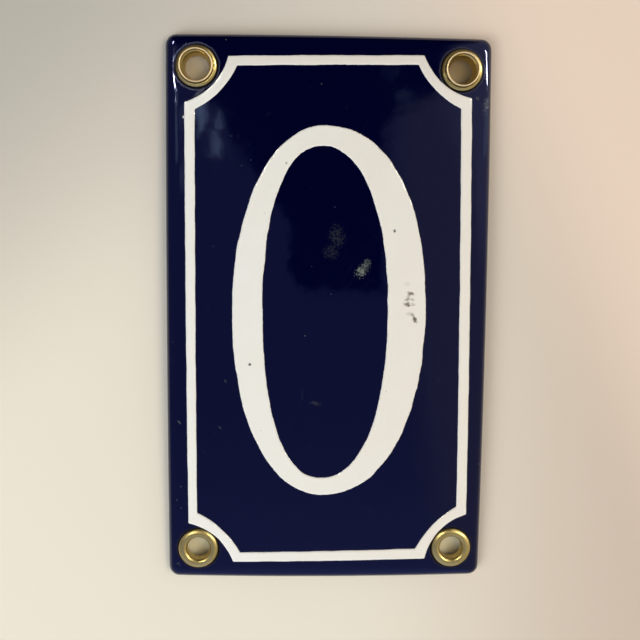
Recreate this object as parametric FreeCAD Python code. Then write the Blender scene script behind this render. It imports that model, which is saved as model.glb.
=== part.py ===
"""House number plaque: a domed enamelled steel plate, its white border and digit, and four brass eyelets.

Millimetres. The plaque lies on its back, with its face towards +Z and the top of the digit towards +Y.
The origin is the middle of the wall plane under the plate.
"""
import FreeCAD, Part
import math
import os

V = FreeCAD.Vector

# The steel plate, with its enamel
plate_width = 70.0
plate_height = 119.0
sheet_thickness = 1.3
corner_level = 3.0
rise_across = 1.2
rise_along = 1.7
rim_round = 2.1
face_corner_radius = 0.3
foot_round = 0.3

# The brass eyelets: each reach is measured outwards from the bore, each height from the seat
bore_radius = 2.5
brass_thickness = 0.3
bore_top = 0.1
flange_reach = 1.93
flange_lip = 0.18
dome_reach = 1.05
dome_height = 1.0
roll_radius = 0.6
roll_reach = 0.35

# The upper two show the side where the tube was rolled over, a narrow lip on a sloping flange
throat_reach = 0.67
throat_height = 0.95
throat_hollow = 0.1
lip_reach = 0.92
lip_height = 1.22
valley_reach = 1.18
valley_height = 0.82
shoulder_bulge = 0.14

# The holes for the eyelets, and the shallow seat pressed round each one
eyelet_side_inset = 6.75
eyelet_end_inset = 7.05
hole_clearance = 0.15
seat_clearance = 0.1
seat_depth = 0.36
seat_wall_angle = 72.0
seat_back_margin = 0.4

# The white enamel, fired on top of the blue
relief = 0.15
border_inset = 4.28
border_width = 2.18
border_turn_of_sides = 0.44
border_turn_of_ends = 0.87
border_shift_across = 0.15
border_shift_along = -0.03
scoop_span_outside = 9.6
scoop_depth_outside = 1.85
scoop_span_inside = 9.3
scoop_depth_inside = 1.1

# The digit: two ovals with a stroke width of their own on each side, and with their top and bottom
# points off to the left of their middle
zero_width = 41.86
zero_height = 80.2
zero_power = 2.15
zero_shift_across = 0.26
zero_shift_along = 0.23
zero_lean = -1.24
zero_widest = 0.5
stroke_left = 6.6
stroke_right = 8.23
stroke_top = 4.3
stroke_bottom = 3.92
counter_power = 2.23
points_per_quarter = 5

# Worked out from the dimensions above
half_width = plate_width / 2
half_height = plate_height / 2
corner_radius = rim_round + face_corner_radius
face_top = corner_level + rise_across + rise_along
radius_across = (half_width ** 2 + rise_across ** 2) / (2 * rise_across)
radius_along = (half_height ** 2 + rise_along ** 2) / (2 * rise_along)
barrel_radius = bore_radius + brass_thickness
flange_radius = bore_radius + flange_reach
hole_radius = barrel_radius + hole_clearance
seat_radius = flange_radius + seat_clearance
eyelet_x = half_width - eyelet_side_inset
eyelet_y = half_height - eyelet_end_inset
overrun = 5.0


def face_level(x, y):
    """Height of the domed face over the wall plane."""
    from_axis = radius_along - radius_across + math.sqrt(radius_across ** 2 - x ** 2)
    return face_top - radius_along + math.sqrt(from_axis ** 2 - y ** 2)


seat_level = face_level(eyelet_x, eyelet_y) - seat_depth


def dome(offset):
    """Everything under the domed face moved outwards by offset: an arc across, swung along an arc."""
    reach = half_width + overrun
    top = face_top + offset
    radius = radius_across + offset
    side = top - radius + math.sqrt(radius ** 2 - reach ** 2)
    arc = Part.Arc(V(-reach, 0, side), V(0, 0, top), V(reach, 0, side)).toShape()
    below = Part.makePolygon([V(reach, 0, side), V(reach, 0, -overrun), V(-reach, 0, -overrun), V(-reach, 0, side)])
    section = Part.Face(Part.Wire([arc] + below.Edges))
    centre = V(0, 0, face_top - radius_along)
    swing = math.degrees(math.atan2(half_height + overrun, radius_along))
    section.rotate(centre, V(1, 0, 0), -swing)
    return section.revolve(centre, V(1, 0, 0), 2 * swing)


def rounded_block(inset, bottom):
    """An upright block with the plate's outline, moved inwards by inset."""
    width = plate_width - 2 * inset
    height = plate_height - 2 * inset
    block = Part.makeBox(width, height, face_top + overrun - bottom, V(-width / 2, -height / 2, bottom))
    upright = [edge for edge in block.Edges if edge.BoundBox.ZLength > face_top]
    return block.makeFillet(corner_radius - inset, upright)


def domed_block(inset, bottom):
    """The block cut off by the dome, with its upper edge rounded over as the rim is."""
    solid = rounded_block(inset, bottom).common(dome(-inset))
    upper = [edge for edge in solid.Edges if edge.BoundBox.ZMin > corner_level - sheet_thickness - foot_round]
    return solid.makeFillet(rim_round - inset, upper)


def at_eyelets(shape):
    """Copies of a shape at the four eyelets, left to right and top to bottom."""
    copies = []
    for y in (eyelet_y, -eyelet_y):
        for x in (-eyelet_x, eyelet_x):
            copy = shape.copy()
            copy.translate(V(x, y, 0))
            copies.append(copy)
    return copies


def seat_cone(radius, bottom):
    """The tapered space over a seat, or the tapered mass behind it, from bottom upwards."""
    height = face_top + overrun - bottom
    spread = height / math.tan(math.radians(seat_wall_angle))
    return Part.makeCone(radius, radius + spread, height, V(0, 0, bottom))


def make_plate():
    """One sheet, domed, its rim turned down to the wall, with a seat and a hole in each corner."""
    outside = domed_block(0, 0)
    hollow = domed_block(sheet_thickness, -overrun)
    seat_back = seat_cone(seat_radius + seat_back_margin, seat_level - sheet_thickness)
    hollow = hollow.cut(at_eyelets(seat_back))
    sheet = outside.cut(hollow)
    foot = [edge for edge in sheet.Edges if edge.BoundBox.ZMax < foot_round / 2]
    sheet = sheet.makeFillet(foot_round, foot)
    hole = Part.makeCylinder(hole_radius, face_top + overrun)
    return sheet.cut(at_eyelets(seat_cone(seat_radius, seat_level))).cut(at_eyelets(hole))


def raised_layer(outline):
    """A coat of white enamel of even thickness on the domed face, inside an outline."""
    column = outline.extrude(V(0, 0, face_top + overrun))
    coat = column.common(dome(relief)).cut(dome(0))
    return coat.cut(at_eyelets(seat_cone(seat_radius, seat_level)))


def scooped_outline(inset, span, depth):
    """A rectangle inset from the plate's sides, whose corners are scooped out by shallow arcs."""
    x = half_width - inset
    y = half_height - inset
    inwards = depth / math.sqrt(2)
    edges = []
    previous = None
    for across, along in ((1, 1), (-1, 1), (-1, -1), (1, -1)):
        on_side = V(across * x, along * (y - span), 0)
        on_end = V(across * (x - span), along * y, 0)
        middle = (on_side + on_end) / 2 - V(across * inwards, along * inwards, 0)
        start, end = (on_side, on_end) if across == along else (on_end, on_side)
        if previous:
            edges.append(Part.LineSegment(previous, start).toShape())
        else:
            first = start
        edges.append(Part.Arc(start, middle, end).toShape())
        previous = end
    edges.append(Part.LineSegment(previous, first).toShape())
    return Part.Face(Part.Wire(edges))


def make_border():
    """The white line along the plate's edge, which its stencil left slightly turned and skewed."""
    outside = scooped_outline(border_inset, scoop_span_outside, scoop_depth_outside)
    inside = scooped_outline(border_inset + border_width, scoop_span_inside, scoop_depth_inside)
    laid = FreeCAD.Matrix()
    laid.A12 = -math.tan(math.radians(border_turn_of_sides))
    laid.A21 = math.tan(math.radians(border_turn_of_ends))
    laid.A14 = border_shift_across
    laid.A24 = border_shift_along
    return raised_layer(outside.cut(inside).transformGeometry(laid))


def oval(left, right, bottom, top, power):
    """A smooth oval of four quarters |x/a|^power + |y/b|^power = 1, which meet at its widest points."""
    centre_x = zero_shift_across + zero_lean
    centre_y = zero_shift_along + zero_widest
    points = []
    for step in range(4 * points_per_quarter):
        angle = math.pi / 2 * step / points_per_quarter
        cosine = math.cos(angle)
        sine = math.sin(angle)
        across = right - centre_x if cosine > 0 else centre_x - left
        along = top - centre_y if sine > 0 else centre_y - bottom
        x = math.copysign(abs(cosine) ** (2 / power), cosine) * across
        y = math.copysign(abs(sine) ** (2 / power), sine) * along
        points.append(V(centre_x + x, centre_y + y, 0))
    curve = Part.BSplineCurve()
    curve.interpolate(Points=points, PeriodicFlag=True)
    return Part.Face(Part.Wire([curve.toShape()]))


def make_digit():
    """The digit zero, heavier on its right side."""
    left = zero_shift_across - zero_width / 2
    right = zero_shift_across + zero_width / 2
    bottom = zero_shift_along - zero_height / 2
    top = zero_shift_along + zero_height / 2
    outside = oval(left, right, bottom, top, zero_power)
    inside = oval(left + stroke_left, right - stroke_right, bottom + stroke_bottom, top - stroke_top, counter_power)
    return raised_layer(outside.cut(inside))


def on_section(radius, height):
    """A point of an eyelet's section, at a height over the seat."""
    return V(radius, 0, seat_level + height)


def crest_arc(crest, end):
    """An arc that is level at its crest and comes down to a point beside it."""
    across = end.x - crest.x
    drop = crest.z - end.z
    radius = (across ** 2 + drop ** 2) / (2 * drop)
    centre = crest - V(0, 0, radius)
    halfway = (crest + end) / 2 - centre
    halfway.normalize()
    return Part.Arc(crest, centre + halfway * radius, end)


def domed_front(edge, bore_end, barrel_end, foot):
    """The smooth side of an eyelet: one round from the flange's edge into the bore."""
    crest = on_section(bore_radius + dome_reach, dome_height)
    under_crest = crest - V(0, 0, brass_thickness)
    front = [crest_arc(crest, edge), crest_arc(crest, bore_end)]
    return front + [crest_arc(under_crest, barrel_end), crest_arc(under_crest, foot)]


def lipped_front(edge, bore_end, barrel_end, foot):
    """The set side of an eyelet: the tube opens like a bowl and ends in a narrow rolled lip."""
    throat = on_section(bore_radius + throat_reach, throat_height)
    crest = on_section(bore_radius + lip_reach, lip_height)
    valley = on_section(bore_radius + valley_reach, valley_height)
    outwards = V(valley.z - edge.z, 0, edge.x - valley.x)
    outwards.normalize()
    shoulder = (edge + valley) / 2 + outwards * shoulder_bulge
    bowl = (throat + bore_end) / 2 + V(1, 0, -1) * throat_hollow
    under_bowl = bowl + V(1, 0, -1) * brass_thickness / math.sqrt(2)
    under_lip = crest - V(0, 0, 2 * brass_thickness)
    front = [Part.Arc(edge, shoulder, valley), crest_arc(crest, valley), crest_arc(crest, throat)]
    front.append(Part.Arc(throat, bowl, bore_end))
    return front + [Part.Arc(barrel_end, under_bowl, under_lip), Part.LineSegment(under_lip, foot)]


def make_eyelet(make_front):
    """Thin brass tube, spread into a flange in front and rolled over behind the sheet."""
    back = -sheet_thickness
    roll_level = back - roll_reach
    roll_centre = bore_radius + roll_radius
    roll_edge = roll_centre + roll_radius
    roll_inner_edge = roll_edge - brass_thickness
    edge = on_section(flange_radius, flange_lip)
    foot = on_section(flange_radius - brass_thickness, 0)
    bore_end = on_section(bore_radius, bore_top)
    barrel_end = on_section(barrel_radius, bore_top)
    roll_start = on_section(bore_radius, roll_level)
    roll_inner_start = on_section(barrel_radius, roll_level)
    roll_bottom = on_section(roll_centre, roll_level - roll_radius)
    roll_inner_bottom = roll_bottom + V(0, 0, brass_thickness)
    edges = make_front(edge, bore_end, barrel_end, foot) + [
        Part.LineSegment(foot, on_section(flange_radius, 0)),
        Part.LineSegment(on_section(flange_radius, 0), edge),
        Part.LineSegment(bore_end, roll_start),
        Part.Arc(roll_start, roll_bottom, on_section(roll_edge, roll_level)),
        Part.LineSegment(on_section(roll_edge, roll_level), on_section(roll_edge, back)),
        Part.LineSegment(on_section(roll_edge, back), on_section(roll_inner_edge, back)),
        Part.LineSegment(on_section(roll_inner_edge, back), on_section(roll_inner_edge, roll_level)),
        Part.Arc(on_section(roll_inner_edge, roll_level), roll_inner_bottom, roll_inner_start),
        Part.LineSegment(roll_inner_start, barrel_end),
    ]
    outline = Part.Wire(Part.__sortEdges__([piece.toShape() for piece in edges]))
    return Part.Face(outline).revolve(V(0, 0, 0), V(0, 0, 1), 360)


def save(name, shape):
    """Writes one piece to its own file, after checking that it is one sound solid."""
    solids = shape.Solids
    if len(solids) != 1 or not solids[0].isValid():
        raise ValueError(f"{name} is not one sound solid: {len(solids)} solids")
    solids[0].exportStep(f"parts/{name}.step")
    print(name, "volume", round(solids[0].Volume, 2))


os.makedirs("parts", exist_ok=True)
save("enamelled_plate", make_plate())
save("border_line", make_border())
save("digit_zero", make_digit())
corners = ("top_left", "top_right", "bottom_left", "bottom_right")
fronts = (lipped_front, lipped_front, domed_front, domed_front)
for number, (corner, front) in enumerate(zip(corners, fronts)):
    save("eyelet_" + corner, at_eyelets(make_eyelet(front))[number])
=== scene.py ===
# %% Load the fixed frame
import math

import bmesh
import bpy
from mathutils import Matrix, Quaternion, Vector, noise


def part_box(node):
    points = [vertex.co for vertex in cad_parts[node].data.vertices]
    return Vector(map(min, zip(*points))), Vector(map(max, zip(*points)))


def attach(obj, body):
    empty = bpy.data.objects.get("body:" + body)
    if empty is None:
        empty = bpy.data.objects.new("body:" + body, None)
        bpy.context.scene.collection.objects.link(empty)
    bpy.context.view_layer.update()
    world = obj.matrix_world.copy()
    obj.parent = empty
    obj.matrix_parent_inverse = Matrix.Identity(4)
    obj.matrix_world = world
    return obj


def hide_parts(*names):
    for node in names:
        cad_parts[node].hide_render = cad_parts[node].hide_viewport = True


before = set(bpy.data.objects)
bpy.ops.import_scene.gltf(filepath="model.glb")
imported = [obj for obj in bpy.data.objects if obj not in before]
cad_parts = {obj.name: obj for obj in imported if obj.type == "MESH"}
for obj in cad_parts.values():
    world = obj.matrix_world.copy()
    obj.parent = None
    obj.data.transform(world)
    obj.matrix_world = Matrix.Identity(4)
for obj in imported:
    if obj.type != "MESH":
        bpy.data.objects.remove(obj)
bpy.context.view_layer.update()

# %% [markdown]
# # An enamelled house number plaque
#
# The real thing is a thin steel sheet, pressed into a shallow dome with its edge turned down, and
# covered with coloured glass. White glass is fired on top for the border and the digit, and four
# brass eyelets protect the screw holes.
#
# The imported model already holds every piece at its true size. Each piece here is made again with
# finer, softer forms, because glossy glass shows each flat facet, and it stands exactly where the
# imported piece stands. All lengths below are in millimetres. A mesh is brought to metres last.

# %% Sizes that the frame gives
MM = 0.001


def frame_box(name):
    """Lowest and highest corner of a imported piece, in millimetres."""
    low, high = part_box(name)
    return low / MM, high / MM


plate_low, plate_high = frame_box("enamelled_plate")
half_width = (plate_high.x - plate_low.x) / 2
half_height = (plate_high.y - plate_low.y) / 2
face_top = plate_high.z

eyelet_names = ("eyelet_top_left", "eyelet_top_right", "eyelet_bottom_left", "eyelet_bottom_right")
eyelet_boxes = {name: frame_box(name) for name in eyelet_names}
eyelet_centres = {name: (low + high) / 2 for name, (low, high) in eyelet_boxes.items()}
eyelet_low, eyelet_high = eyelet_boxes["eyelet_top_right"]
eyelet_x = eyelet_centres["eyelet_top_right"].x
eyelet_y = eyelet_centres["eyelet_top_right"].y
flange_radius = (eyelet_high.x - eyelet_low.x) / 2
print(f"plate {2 * half_width:.1f} x {2 * half_height:.1f} x {face_top:.2f} mm,",
      f"eyelets at {eyelet_x:.2f}, {eyelet_y:.2f}, flange radius {flange_radius:.2f}")

# %% [markdown]
# ## Camera
#
# The picture was taken by hand from close above, so its sides run together towards the bottom. The
# place and turn below come from fitting the plate's corners, the border and the eyelets. The turn is
# one vector: its direction is the axis and its length the angle, which avoids three chained angles.

# %% Camera
picture_width = 640
focal_length_in_pixels = 850
camera_place = Vector((-7.966, 16.152, 188.265))
camera_turn = Vector((-0.09414, -0.03393, 0.00748))

camera_data = bpy.data.cameras.new("camera")
camera_data.sensor_width = 36
camera_data.lens = focal_length_in_pixels / picture_width * camera_data.sensor_width
camera_data.clip_start = 0.01
camera = bpy.data.objects.new("camera", camera_data)
camera.location = camera_place * MM
camera.rotation_mode = "QUATERNION"
camera.rotation_quaternion = Quaternion(camera_turn.normalized(), camera_turn.length)
bpy.context.scene.collection.objects.link(camera)
bpy.context.scene.camera = camera
print(f"camera lens {camera_data.lens:.1f} mm")

# %% [markdown]
# ## Helpers for meshes
#
# Every piece is worked as a bmesh in millimetres. At the end it becomes an object at the origin,
# rides on the plaque's only body, stands for its imported pieces and takes the materials it is given.


# %% Helpers for meshes
def finish_piece(mesh, name, replaced, materials):
    """Turns a bmesh in millimetres into a smooth object of the scene."""
    bmesh.ops.scale(mesh, vec=(MM, MM, MM), verts=mesh.verts)
    bmesh.ops.recalc_face_normals(mesh, faces=mesh.faces)
    for face in mesh.faces:
        face.smooth = True
    data = bpy.data.meshes.new(name)
    mesh.to_mesh(data)
    mesh.free()
    for material in materials:
        data.materials.append(material)
    piece = bpy.data.objects.new(name, data)
    bpy.context.scene.collection.objects.link(piece)
    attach(piece, "root")
    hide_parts(replaced)
    triangles = sum(len(polygon.vertices) - 2 for polygon in data.polygons)
    print(f"{name}: {len(data.vertices)} points, {triangles} triangles")
    return piece


def ease(low, high, value):
    """0 below low, 1 above high, and a soft step between them."""
    share = min(max((value - low) / (high - low), 0), 1)
    return share * share * (3 - 2 * share)


def ripple(x, y, spacing, seed):
    """A soft random height from -1 to 1 over the plate, with waves about one spacing long."""
    return noise.noise(Vector((x / spacing, y / spacing, seed)))


# %% [markdown]
# ## The dome
#
# The press gave the sheet one arc across, swung along a second, longer arc. One function says how
# high that face is anywhere. With an offset it gives the back of the sheet, or the top of the white
# enamel, so all the pieces share one form and touch without gaps.

# %% The dome
rise_across = 1.2
rise_along = 1.7
radius_across = (half_width ** 2 + rise_across ** 2) / (2 * rise_across)
radius_along = (half_height ** 2 + rise_along ** 2) / (2 * rise_along)


def face_level(x, y, offset=0.0):
    """Height of the domed face, moved outwards by offset."""
    across = radius_across + offset
    along = radius_along + offset
    from_axis = along - across + math.sqrt(across ** 2 - x ** 2)
    return face_top + offset - along + math.sqrt(from_axis ** 2 - y ** 2)


seat_depth = 0.36
seat_level = face_level(eyelet_x, eyelet_y) - seat_depth
print(f"dome radii {radius_across:.0f} and {radius_along:.0f} mm, seats at {seat_level:.3f} mm")

# %% [markdown]
# ## The pressed plate
#
# The plate is made as the works made it. First comes a flat blank: a grid whose four corner blocks are
# taken out and filled with rings round each hole. It gets its thickness while it is flat, because
# solidify is exact there. Then one function presses every point: the middle takes the dome, the edge
# bends over the rim's quarter round and goes down to the wall, and the seats sink round the holes.
# Cutting the holes with a boolean would be shorter, but its long faces show in a glossy surface.

# %% The blank's sizes
sheet_thickness = 1.3
rim_round = 2.1
face_corner_radius = 0.3
foot_round = 0.3
corner_radius = rim_round + face_corner_radius
hole_radius = 2.95

# On the flat blank, outside the rectangle of the corner centres: flat strip, bend, then turned edge
flat_strip = face_corner_radius
bend_strip = rim_round * math.pi / 2
edge_strip = 2.0
edge_reach = flat_strip + bend_strip + edge_strip
foot_share = 0.25

core_x = half_width - corner_radius
core_y = half_height - corner_radius
block_overlap = 0.85
block_x = core_x + block_overlap - eyelet_x
block_y = core_y + block_overlap - eyelet_y
block_steps = 12
edge_steps = 12
middle_spacing = 1.0
seat_rings = (hole_radius, 3.2, 4.1, 4.4, 4.5, 4.58, 4.66, 4.74, 4.82, 4.92, 5.04)


# %% A flat blank with rings round its holes
def grid_lines(core, hole_centre, block):
    """Places of the grid's lines along one side, from the middle outwards, and mirrored."""
    inner, outer = hole_centre - block, hole_centre + block
    middle_steps = round(inner / middle_spacing)
    lines = [inner * step / middle_steps for step in range(middle_steps)]
    lines += [inner + 2 * block * step / block_steps for step in range(block_steps)]
    rest = core + edge_reach - outer
    lines += [outer + rest * step / edge_steps for step in range(edge_steps + 1)]
    return [-line for line in reversed(lines[1:])] + lines


def make_blank():
    """A flat grid with four round holes, each set in rings that join the grid round a block."""
    mesh = bmesh.new()
    lines_x = grid_lines(core_x, eyelet_x, block_x)
    lines_y = grid_lines(core_y, eyelet_y, block_y)
    steps_x, steps_y = len(lines_x) - 1, len(lines_y) - 1
    bmesh.ops.create_grid(mesh, x_segments=steps_x, y_segments=steps_y, size=1)
    for point in mesh.verts:
        point.co.x = lines_x[round((point.co.x + 1) / 2 * steps_x)]
        point.co.y = lines_y[round((point.co.y + 1) / 2 * steps_y)]
    for centre in eyelet_centres.values():
        def in_block(place, grow):
            return (abs(place.x - centre.x) < block_x + grow
                    and abs(place.y - centre.y) < block_y + grow)

        removed = [face for face in mesh.faces if in_block(face.calc_center_median(), 0)]
        bmesh.ops.delete(mesh, geom=removed, context="FACES")
        block_edges = [edge for edge in mesh.edges if edge.is_boundary
                       and in_block(edge.verts[0].co, 0.01) and in_block(edge.verts[1].co, 0.01)]
        spoke = [mesh.verts.new((centre.x + radius, centre.y, 0)) for radius in seat_rings]
        spoke_edges = [mesh.edges.new(pair) for pair in zip(spoke, spoke[1:])]
        bmesh.ops.spin(mesh, geom=spoke + spoke_edges, cent=(centre.x, centre.y, 0), axis=(0, 0, 1),
                       angle=2 * math.pi, steps=4 * block_steps, use_merge=True)
        outer_edges = [edge for edge in mesh.edges if edge.is_boundary
                       and all(abs((point.co.xy - centre.xy).length - seat_rings[-1]) < 0.01
                               for point in edge.verts)]
        bridge = bmesh.ops.bridge_loops(mesh, edges=block_edges + outer_edges)
        bmesh.ops.subdivide_edges(mesh, edges=bridge["edges"], cuts=2, use_grid_fill=True)
    return mesh


blank = make_blank()
print(f"blank: {len(blank.faces)} faces, {sum(edge.is_boundary for edge in blank.edges)} open edges")

# %% [markdown]
# Each seat is a shallow dish: a flat floor under the eyelet's flange and a steep side up to the
# face. Glass never leaves such an edge sharp, so the lower of the two forms is taken with a soft
# minimum, which blends them over about a tenth of a millimetre.

# %% Pressing one point of the blank
seat_radius = flange_radius + 0.1
seat_back_margin = 0.4
seat_wall_slope = math.tan(math.radians(72))
seat_softness = 0.13
wave_spacing = 17.0
wave_height = 0.035


def soft_minimum(first, second, softness):
    """The lower of two heights, blended where they are close."""
    share = max(softness - abs(first - second), 0) / softness
    return min(first, second) - share * share * softness / 4


def seat_floor(x, y, inset):
    """Height of the dish round the nearest hole, or of its back."""
    from_hole = math.hypot(abs(x) - eyelet_x, abs(y) - eyelet_y)
    radius = seat_radius + seat_back_margin * inset / sheet_thickness
    return seat_level - inset + seat_wall_slope * max(from_hole - radius, 0)


def pressed(place, inset):
    """Where a point of the flat blank goes in the press; inset is its depth in the sheet."""
    core = Vector((min(max(place.x, -core_x), core_x), min(max(place.y, -core_y), core_y)))
    beyond = Vector((abs(place.x - core.x), abs(place.y - core.y)))
    reach = max(beyond)
    if reach == 0:
        x, y, z = core.x, core.y, face_level(core.x, core.y, -inset)
        return Vector((x, y, soft_minimum(z, seat_floor(x, y, inset), seat_softness)))
    # The square corner of the grid turns into a round one
    lean = math.pi / 4 * min(beyond) / reach
    angle = lean if beyond.x >= beyond.y else math.pi / 2 - lean
    way = Vector((math.copysign(math.cos(angle), place.x), math.copysign(math.sin(angle), place.y)))
    bend = rim_round - inset
    slope = math.atan(face_level(*core, -inset) - face_level(*(core + way), -inset))
    touch = face_corner_radius + bend * math.sin(slope)
    level = face_level(*(core + way * touch), -inset)
    if reach <= flat_strip:
        out = touch * reach / flat_strip
        z = face_level(*(core + way * out), -inset)
    elif reach <= flat_strip + bend_strip:
        turn = slope + (math.pi / 2 - slope) * (reach - flat_strip) / bend_strip
        out = touch + bend * (math.sin(turn) - math.sin(slope))
        z = level - bend * (math.cos(slope) - math.cos(turn))
    else:
        share = min((reach - flat_strip - bend_strip) / edge_strip, 1)
        out = touch + bend * (1 - math.sin(slope))
        edge_top = level - bend * math.cos(slope)
        z = edge_top + (foot_round - edge_top) * min(share / (1 - foot_share), 1)
        turn = math.pi / 2 * max(share - 1 + foot_share, 0) / foot_share
        out += foot_round * (1 - math.cos(turn)) * (1 if inset else -1)
        z -= foot_round * math.sin(turn)
    x, y = core + way * out
    if reach <= flat_strip + bend_strip:
        z = soft_minimum(z, seat_floor(x, y, inset), seat_softness)
    return Vector((x, y, z))


# %% Press the plate
def make_plate():
    """The blank gets its thickness while it is flat, and is then pressed."""
    mesh = make_blank()
    bmesh.ops.solidify(mesh, geom=mesh.faces[:], thickness=sheet_thickness)
    depths = [point.co.z for point in mesh.verts]
    front = max(depths)
    for point in mesh.verts:
        inset = 0.0 if front - point.co.z < sheet_thickness / 2 else sheet_thickness
        made = pressed(point.co, inset)
        # A hand press leaves slow waves, which fade out over the foot and the seats
        from_hole = math.hypot(abs(made.x) - eyelet_x, abs(made.y) - eyelet_y)
        free = ease(0.0, 2.5, made.z) * ease(5.0, 9.0, from_hole)
        made.z += wave_height * free * ripple(made.x, made.y, wave_spacing, 1.7) * 0.5
        point.co = made
    return mesh


plate_mesh = make_plate()
open_edges = sum(not edge.is_manifold for edge in plate_mesh.edges)
print(f"pressed plate: {len(plate_mesh.faces)} faces, {open_edges} open edges,",
      f"lowest point {min(point.co.z for point in plate_mesh.verts):.3f}")
blank.free()

# %% [markdown]
# ## White enamel
#
# The border and the digit were dusted through a stencil and fired, so each is a thin raised line of
# glass with rounded shoulders and slightly ragged edges. Both start as a flat round washer of two
# circles. On it the angle says how far along the line a point is, and the radius how far across, so
# one function can lay a washer along any closed line. Extruding the washer gives a closed solid.

# %% A washer, and how it is laid on the face
relief = 0.15
shoulder = 0.1
brim_height = 0.025
brim_place = 0.3
sink = 0.03


def washer(steps_along, steps_across):
    """A closed thin ring between radius 1 and 2; its lower side is at height 0, its upper at 1."""
    mesh = bmesh.new()
    edges = []
    for radius in (1, 2):
        circle = bmesh.ops.create_circle(mesh, segments=steps_along, radius=radius)
        edges += list({edge for point in circle["verts"] for edge in point.link_edges})
    bridge = bmesh.ops.bridge_loops(mesh, edges=edges)
    bmesh.ops.subdivide_edges(mesh, edges=bridge["edges"], cuts=steps_across - 1, use_grid_fill=True)
    lifted = bmesh.ops.extrude_face_region(mesh, geom=mesh.faces[:], use_keep_orig=True)
    for item in lifted["geom"]:
        if isinstance(item, bmesh.types.BMVert):
            item.co.z = 1
    return mesh


def wander(place, seed):
    """How a hand-cut edge strays: slowly along its way, and in small teeth."""
    return (3.5 * ripple(*place, 4.0, seed) + ripple(*place, 0.9, seed + 1)
            + 0.6 * ripple(*place, 0.35, seed + 2))


def lay_enamel(mesh, outside, inside, ragged_outside, ragged_inside, seed):
    """Lays a washer between two closed lines, each a function of the share of one turn."""
    edge_share = mesh.verts.layers.float.new("from_edge")
    for point in mesh.verts:
        turn = math.atan2(point.co.y, point.co.x) / (2 * math.pi) % 1
        across = 2 - point.co.xy.length
        # Points crowd towards both edges, where the glass rounds over
        across = across - 0.13 * math.sin(2 * math.pi * across)
        first, second = Vector(outside(turn)), Vector(inside(turn))
        width = (second - first).length
        way = (second - first) / width
        first += way * ragged_outside * wander(first, seed)
        second += way * ragged_inside * wander(second, seed + 5)
        x, y = first.lerp(second, min(max(across, 0), 1))
        inwards = min(across, 1 - across) * width
        point[edge_share] = inwards
        if point.co.z > 0.5:
            rounded = relief * (1 - math.exp(-inwards / shoulder))
            brim = brim_height * math.exp(-((inwards - brim_place) / brim_place) ** 2)
            height = rounded * (1 + 0.12 * ripple(x, y, 2.5, seed)) + brim * ease(0, shoulder, inwards)
        else:
            height = -sink
        point.co = (x, y, face_level(x, y) + height)
    return mesh


# %% [markdown]
# ### The border line
#
# The stencil had straight sides and a shallow arc across each corner. It was cut and laid by hand,
# so each corner is given by itself: where the straight sides would meet, how far from there the arc
# leaves the long side and the short end, and a point in the middle of the arc.

# %% The border line
border_outside = {
    # the corner, its spans along the side and along the end, and the middle of its arc
    "left_bottom": ((-30.38, -55.60), 8.95, 9.85, (-24.16, -49.98)),
    "right_bottom": ((31.64, -54.85), 10.05, 9.30, (25.22, -48.88)),
    "right_top": ((30.39, 55.60), 9.00, 10.30, (24.04, 49.76)),
    "left_top": ((-30.83, 54.47), 9.50, 9.30, (-24.68, 48.78))}
border_inside = {
    "left_bottom": ((-28.44, -53.48), 9.30, 9.50, (-22.75, -48.28)),
    "right_bottom": ((29.32, -52.33), 9.40, 9.20, (23.62, -47.48)),
    "right_top": ((28.06, 53.53), 9.15, 9.20, (22.37, 48.38)),
    "left_top": ((-28.61, 52.44), 8.95, 9.00, (-22.70, 47.85))}
side_share = 0.30
end_share = 0.12
scoop_share = 0.08
border_steps_along = 2200
border_steps_across = 9
point_rounding = 0.0007


def arc_point(start, middle, end, share):
    """A point on the arc through three points."""
    a, b = middle - start, end - start
    cross = 2 * (a.x * b.y - a.y * b.x)
    to_centre = Vector((b.y * a.length_squared - a.y * b.length_squared,
                        a.x * b.length_squared - b.x * a.length_squared)) / cross
    centre = start + to_centre
    first, last = start - centre, end - centre
    angle = math.atan2(first.x * last.y - first.y * last.x, first.dot(last))
    return centre + Matrix.Rotation(angle * share, 2) @ first


def border_outline(corners):
    """The closed line as a function of the share of one turn, from the left side's upper end down."""
    parts = []
    share = 0.0
    names = list(corners)
    for index, name in enumerate(names):
        before, corner, after = (Vector(corners[names[(index + step) % 4]][0]) for step in (-1, 0, 1))
        # The line arrives along a side and leaves along an end, or the other way round
        along_side = index % 2 == 0
        arriving_span, leaving_span = corners[name][1:3] if along_side else corners[name][2:0:-1]
        span_before = corners[names[index - 1]][1 if along_side else 2]
        line_start = before + (corner - before).normalized() * span_before
        arriving = corner + (before - corner).normalized() * arriving_span
        leaving = corner + (after - corner).normalized() * leaving_span
        line_share = side_share if along_side else end_share
        parts.append((share, line_share, line_start, None, arriving))
        parts.append((share + line_share, scoop_share, arriving, Vector(corners[name][3]), leaving))
        share += line_share + scoop_share
    total = share

    def sharp(turn):
        along = turn * total % total
        for start_share, length, start, middle, end in reversed(parts):
            if along >= start_share:
                part = (along - start_share) / length
                return start.lerp(end, part) if middle is None else arc_point(start, middle, end, part)

    def at(turn):
        # The mean of a few points close by rounds the points where the arcs meet the sides
        near = [sharp(turn + point_rounding * step) for step in (-1, -0.5, 0, 0.5, 1)]
        return sum(near, Vector((0, 0))) / len(near)

    return at


border_mesh = lay_enamel(
    washer(border_steps_along, border_steps_across), border_outline(border_outside),
    border_outline(border_inside), ragged_outside=0.026, ragged_inside=0.026, seed=11.3)
print(f"border: {len(border_mesh.faces)} faces")

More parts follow.
